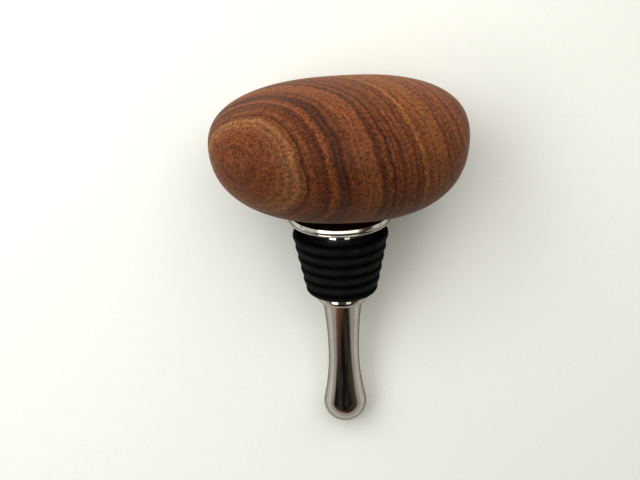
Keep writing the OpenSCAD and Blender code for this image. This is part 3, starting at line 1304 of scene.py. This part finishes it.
@dataclass
class StoneKnob(Piece):
    """The pebble: a full ellipsoid with a long and a short end, flatter above than below."""

    name: ClassVar[str] = "ringed_pebble"
    node: ClassVar[str] = "stone_knob"
    slot: ClassVar[Slot] = Slot.STONE
    sharp: ClassVar[float] = 50.0

    left: float = 32.9
    right: float = 28.0
    half_depth: float = 26.0
    rise: float = 12.5
    drop: float = 19.8
    fullness: float = 2.4
    tilt: float = 1.0
    shift: float = 2.7
    seat_depth: float = 0.5
    seat_level: float = 1.8
    hole_d: float = 6.4
    hole_depth: float = 12.6
    hole_ring_h: float = 0.5
    blend: float = 3.0
    rows: int = 224
    columns: int = 400
    halvings: int = 44
    far: float = 60.0
    least_cosine: float = 1e-6
    lobes: tuple[Lobe, ...] = (
        Lobe((-0.87, -0.1, 0.45), -0.4, 16.0),
        Lobe((0.80, -0.1, 0.48), 0.3, 17.0),
        Lobe((-0.98, -0.2, 0.0), 0.3, 14.0),
    )

    def own_axes(self) -> np.ndarray:
        """The stone's length, depth and height directions, as rows."""
        cosine, sine = math.cos(math.radians(self.tilt)), math.sin(math.radians(self.tilt))
        return np.array(((cosine, 0.0, sine), (0.0, 1.0, 0.0), (-sine, 0.0, cosine)))

    def middle(self) -> np.ndarray:
        """Works out the stone's own middle, so high that its bottom is ground off by the seat's depth.

        Returns:
            The upright point.
        """
        dual = self.fullness / (self.fullness - 1.0)
        down = self.own_axes()[:, 2]
        reach = (self.left * abs(down[0])) ** dual + (self.drop * abs(down[2])) ** dual
        return np.array((self.shift, 0.0, self.seat_level - self.seat_depth + reach ** (1.0 / dual)))

    def measure(self, points: np.ndarray) -> np.ndarray:
        """|x/a|^p + ((y/b)^2 + (z/c)^2)^(p/2), which is 1 on the skin.

        The reach a changes from end to end, and 1/c^2 goes smoothly from the drop's to the rise's.

        Args:
            points: Upright points.

        Returns:
            The measure of each point.
        """
        x, y, z = np.moveaxis((points - self.middle()) @ self.own_axes().T, -1, 0)
        reach = np.where(x < 0, self.left, self.right)
        below, above = self.drop**-2, self.rise**-2
        flatness = (below + above) / 2 + (above - below) / 2 * np.tanh(z / self.blend)
        across = (y / self.half_depth) ** 2 + z**2 * flatness
        return np.abs(x / reach) ** self.fullness + across ** (self.fullness / 2)

    def reach(self, heart: np.ndarray, facing: np.ndarray) -> np.ndarray:
        """Distance from the heart to the skin along each direction, found by halving, then lobed.

        Args:
            heart: A point inside the stone.
            facing: Unit directions.

        Returns:
            The distances.
        """
        low, high = np.zeros(facing.shape[:-1]), np.full(facing.shape[:-1], self.far)
        for _ in range(self.halvings):
            half = (low + high) / 2
            inside = self.measure(heart + half[..., None] * facing) < 1.0
            low, high = np.where(inside, half, low), np.where(inside, high, half)
        swell = np.zeros_like(low)
        for lobe in self.lobes:
            aim = np.array(lobe.facing) / np.linalg.norm(lobe.facing)
            apart = np.degrees(np.arccos(np.clip(facing @ aim, -1.0, 1.0)))
            swell += lobe.height * np.exp(-0.5 * (apart / lobe.spread) ** 2)
        return low + swell

    def skin(self) -> Skin:
        """Rings from the bottom of the stud's hole, down its wall, over the seat and up to the top.

        Outside the hole a point is the heart plus a direction times its reach, where the direction
        runs over an even grid of slope and turn, and the reach stops at the plane of the seat.

        Returns:
            The closed surface.
        """
        hole, hole_top = self.hole_d / 2, self.seat_level + self.hole_depth
        heart = on_axis(self.middle()[2])
        depth = heart[2] - self.seat_level
        slope = np.linspace(math.atan2(hole, depth), np.pi, self.rows, endpoint=False)[:, None]
        turn = np.linspace(0.0, 2.0 * np.pi, self.columns, endpoint=False)[None]
        sine = np.sin(slope)
        cosine = np.broadcast_to(-np.cos(slope), (self.rows, self.columns))
        facing = np.stack((sine * np.cos(turn), sine * np.sin(turn), cosine), axis=-1)
        to_plane = depth / np.maximum(-cosine, self.least_cosine)
        to_seat = np.where(cosine < -self.least_cosine, to_plane, np.inf)
        reach = np.minimum(self.reach(heart, facing), to_seat)
        shell = heart + reach[..., None] * facing
        wall_section = np.array(((hole, hole_top), (hole, self.seat_level + self.hole_ring_h)))
        wall = revolve(wall_section, self.columns)
        straight_up = on_axis(1.0)
        top = heart + self.reach(heart, straight_up[None]) * straight_up
        return Skin(np.concatenate((wall, shell)), on_axis(hole_top), top)


@dataclass(frozen=True)
class SoftLamp:
    """A level panel that shines down: its name, middle, width, length, power in watts and colour."""

    name: str
    middle: Place
    width: float
    length: float
    power: float
    colour: Colour

    def build(self) -> None:
        """Hangs the lamp, out of the camera's sight."""
        data = bpy.data.lights.new(self.name, "AREA")
        data.shape = "RECTANGLE"
        data.size = self.width * MM
        data.size_y = self.length * MM
        data.energy = self.power
        data.color = self.colour
        lamp = bpy.data.objects.new(self.name, data)
        lamp.location = MM * np.array(self.middle)
        lamp.visible_camera = False
        bpy.context.scene.collection.objects.link(lamp)


@dataclass
class Studio:
    """The pale floor, three soft panels and the room around them, dark overhead on the tip's side.

    Attributes:
        floor_half: Half the floor's width.
        floor_steps: Steps across the floor.
        lamps: The panels.
        below: Light from below the horizon.
        left_wall: Light from the walls on the left.
        right_wall: Light from the walls on the right.
        wall_sides: Shares to the right between which the left walls give way to the right ones.
        skirting: Share of the walls' light that is left at the horizon.
        skirting_rise: Heights between which that share grows to the whole.
        pale: Light from the side that the stone lies towards.
        pale_edge: Shares towards that side between which the walls give way to it.
        dark: Least light from the dark side overhead.
        dim: Light from its brighter blotches.
        blotches: The blotches.
        blotch_rise: How far they raise and lower the dark side's edge.
        brown: Light from a warm patch low on its left.
        brown_from: Shares to the right between which the patch begins.
        brown_to: Shares to the right between which it ends.
        brown_top: Heights between which it ends.
        tawny: Light from the dark side's right end, which reaches further towards the stone.
        tawny_from: Shares to the right between which that end begins.
        tawny_reach: How much further it reaches.
        dark_rise: Heights between which the walls give way to the dark side.
        dark_edge: Shares towards the stone between which the dark side ends.
    """

    floor_half: float = 12000.0
    floor_steps: int = 40
    lamps: tuple[SoftLamp, ...] = (
        SoftLamp("left_panel", (-190.0, 95.0, 280.0), 180.0, 375.0, 0.82, (1.0, 0.99, 0.96)),
        SoftLamp("middle_panel", (-17.0, 157.0, 280.0), 180.0, 265.0, 0.23, (1.0, 0.99, 0.96)),
        SoftLamp("right_panel", (133.0, 100.0, 280.0), 120.0, 360.0, 0.2, (1.0, 0.95, 0.86)),
    )
    below: Colour = (0.41, 0.41, 0.38)
    left_wall: Colour = (0.58, 0.55, 0.50)
    right_wall: Colour = (0.54, 0.51, 0.46)
    wall_sides: Span = (-0.5, 0.7)
    skirting: float = 0.95
    skirting_rise: Span = (0.0, 0.1)
    pale: Colour = (1.22, 1.22, 1.18)
    pale_edge: Span = (0.05, 0.45)
    dark: Colour = (0.010, 0.010, 0.009)
    dim: Colour = (0.060, 0.055, 0.048)
    blotches: Clouds = Clouds(3.2, 3.0, band=(0.4, 0.68))
    blotch_rise: float = 0.12
    brown: Colour = (0.24, 0.10, 0.05)
    brown_from: Span = (-0.75, -0.5)
    brown_to: Span = (-0.1, 0.1)
    brown_top: Span = (0.42, 0.62)
    tawny: Colour = (0.10, 0.065, 0.042)
    tawny_from: Span = (0.45, 0.75)
    tawny_reach: float = 0.3
    dark_rise: Span = (0.22, 0.40)
    dark_edge: Span = (0.0, 0.12)

    def build(self, rest: RestFrame, finish: Finish) -> bpy.types.Object:
        """Lays the floor, hangs the lamps and sets the room's light.

        Args:
            rest: Where the stopper lies.
            finish: The paper.

        Returns:
            The floor.
        """
        floor = self._floor()
        floor.data.materials.append(finish.material(rest))
        for lamp in self.lamps:
            lamp.build()
        self._room()
        bpy.context.scene.view_settings.view_transform = "Standard"
        return floor

    def _floor(self) -> bpy.types.Object:
        """Makes a level grid: x and y run evenly from edge to edge, and z is zero.

        Returns:
            The bare floor.
        """
        line = np.linspace(-self.floor_half, self.floor_half, self.floor_steps + 1) * MM
        x, y = np.meshgrid(line, line)
        points = np.stack((x, y, np.zeros_like(x)), axis=-1).reshape(-1, 3)
        own = np.arange(len(points)).reshape(x.shape)
        quads = np.stack((own[:-1, :-1], own[:-1, 1:], own[1:, 1:], own[1:, :-1]), axis=-1).reshape(-1, 4)
        mesh = bpy.data.meshes.new("pale_floor")
        mesh.from_pydata(points.tolist(), [], quads.tolist())
        floor = bpy.data.objects.new("pale_floor", mesh)
        bpy.context.scene.collection.objects.link(floor)
        return floor

    def _room(self) -> None:
        """Lights the room by direction: grey below the horizon, then walls, and dark overhead to one side."""
        world = bpy.data.worlds.new("dim_room")
        world.use_nodes = True
        bench = Bench(world.node_tree)
        facing = bench.add("ShaderNodeTexCoord").outputs["Generated"]
        side, ahead, height = bench.parts(facing)
        walls = bench.mix(bench.span(side, self.wall_sides), self.left_wall, self.right_wall)
        low = bench.span(height, self.skirting_rise, (self.skirting, 1.0))
        shaded = bench.mix(low, BLACK, walls)
        walls = bench.mix(bench.span(ahead, self.pale_edge), shaded, self.pale)
        room = bench.mix(bench.math("GREATER_THAN", height, 0.0), self.below, walls)
        blotch = bench.noise(facing, self.blotches)
        right_end = bench.span(side, self.tawny_from)
        dark = bench.mix(bench.span(blotch, self.blotches.band), self.dark, self.dim)
        dark = bench.mix(self._brown_share(bench, side, height), dark, self.brown)
        dark = bench.mix(right_end, dark, self.tawny)
        uneven = bench.math("SUBTRACT", blotch, NOISE_MIDDLE)
        rise = bench.math("MULTIPLY_ADD", uneven, self.blotch_rise, height)
        overhead = bench.span(rise, self.dark_rise)
        stoneward = bench.math("MULTIPLY_ADD", right_end, -self.tawny_reach, ahead)
        tipward = bench.span(stoneward, self.dark_edge, FALLING)
        room = bench.mix(bench.math("MULTIPLY", overhead, tipward), room, dark)
        background = bench.wire(bench.add("ShaderNodeBackground"), {"Color": room})
        bench.wire(bench.add("ShaderNodeOutputWorld"), {"Surface": background.outputs[0]})
        bpy.context.scene.world = world

    def _brown_share(self, bench: Bench, side: Socket, height: Socket) -> Socket:
        """How much of the warm patch is seen that way: full a little left of the middle and low down.

        Args:
            bench: The room's bench.
            side: Share of the direction to the right.
            height: Its height.

        Returns:
            The share, between 0 and 1.
        """
        start = bench.span(side, self.brown_from)
        across = bench.math("MULTIPLY", start, bench.span(side, self.brown_to, FALLING))
        return bench.math("MULTIPLY", across, bench.span(height, self.brown_top, FALLING))


@dataclass
class PhotoCamera:
    """The camera at the photograph's viewing angle, almost straight above the lying stopper.

    Attributes:
        picture: Width and height of the picture, in pixels.
        aim: Pixel at which the middle of the flange's underside lands.
        focal: Focal length in pixels.
        distance: Distance from the camera to that point, in millimetres.
        elevation: Height of the view above the flange's plane, in degrees.
        roll: Lean of the axis to the left in the picture, in degrees.
        sensor: Width of the sensor, in millimetres.
        near: Distance from which the camera sees, in millimetres.
    """

    picture: tuple[int, int] = (640, 480)
    aim: tuple[float, float] = (340.0, 218.0)
    focal: float = 1200.0
    distance: float = 290.5
    elevation: float = 22.3
    roll: float = 1.67
    sensor: float = 36.0
    near: float = 10.0

    def build(self, rest: RestFrame) -> bpy.types.Object:
        """Sets the camera up and makes it the scene's own.

        Args:
            rest: Where the stopper lies.

        Returns:
            The camera.
        """
        rise, lean = math.radians(self.elevation), math.radians(self.roll)
        sight = np.array((0.0, math.cos(rise), -math.sin(rise)))
        level = np.array((1.0, 0.0, 0.0))
        upward = np.cross(level, sight)
        right = math.cos(lean) * level - math.sin(lean) * upward
        above = math.sin(lean) * level + math.cos(lean) * upward
        across = (self.aim[0] - self.picture[0] / 2) / self.focal
        over = (self.picture[1] / 2 - self.aim[1]) / self.focal
        ahead = sight - across * right - over * above
        ahead /= np.linalg.norm(ahead)
        right -= (right @ ahead) * ahead
        right /= np.linalg.norm(right)
        turned = np.column_stack((right, np.cross(right, ahead), -ahead))
        matrix = np.eye(4)
        matrix[:3, :3] = rest.axes @ turned
        matrix[:3, 3] = rest.place(-self.distance * sight)
        data = bpy.data.cameras.new("photo_camera")
        data.sensor_width = self.sensor
        data.lens = self.focal * self.sensor / self.picture[0]
        data.clip_start = self.near * MM
        camera = bpy.data.objects.new("photo_camera", data)
        camera.matrix_world = Matrix(matrix.tolist())
        bpy.context.scene.collection.objects.link(camera)
        bpy.context.scene.camera = camera
        return camera


def main() -> None:
    """Builds the stopper piece by piece, then the studio and the camera."""
    logging.basicConfig(level=logging.INFO, format="%(name)s: %(message)s")
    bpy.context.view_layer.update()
    sleeve = RubberSleeve()
    rest = RestFrame.from_mount(frame["record"]["mounts"][0], sleeve.seal_level, REST_TURN)
    effects = SharedEffects()
    stone = StoneFinish("ringed_sandstone", effects)
    steel = MetalFinish(
        "stud_steel",
        effects,
        colour=(0.52, 0.51, 0.50),
        dull_colour=(0.36, 0.35, 0.33),
        smears=0.9,
        scratches=0.8,
        polished=0.25,
        dulled=0.5,
    )
    chrome = MetalFinish(
        "polished_chrome",
        effects,
        colour=(0.50, 0.48, 0.44),
        dull_colour=(0.40, 0.38, 0.34),
        edge_colour=(0.35, 0.32, 0.28),
        ripple=Relief(0.2, 0.07),
    )
    rubber = RubberFinish("black_rubber", effects, sleeve.groove_level(0), sleeve.rib_pitch)
    pieces = (
        StoneKnob().build(rest, stone),
        ThreadedStud().build(rest, steel),
        StopperBody(sleeve.low).build(rest, chrome),
        sleeve.build(rest, rubber),
    )
    for piece in pieces:
        log.info("%s: %d faces", piece.name, len(piece.data.polygons))
    Studio().build(rest, FloorFinish("pale_paper", effects))
    PhotoCamera().build(rest)


if __name__ == "__main__":
    main()
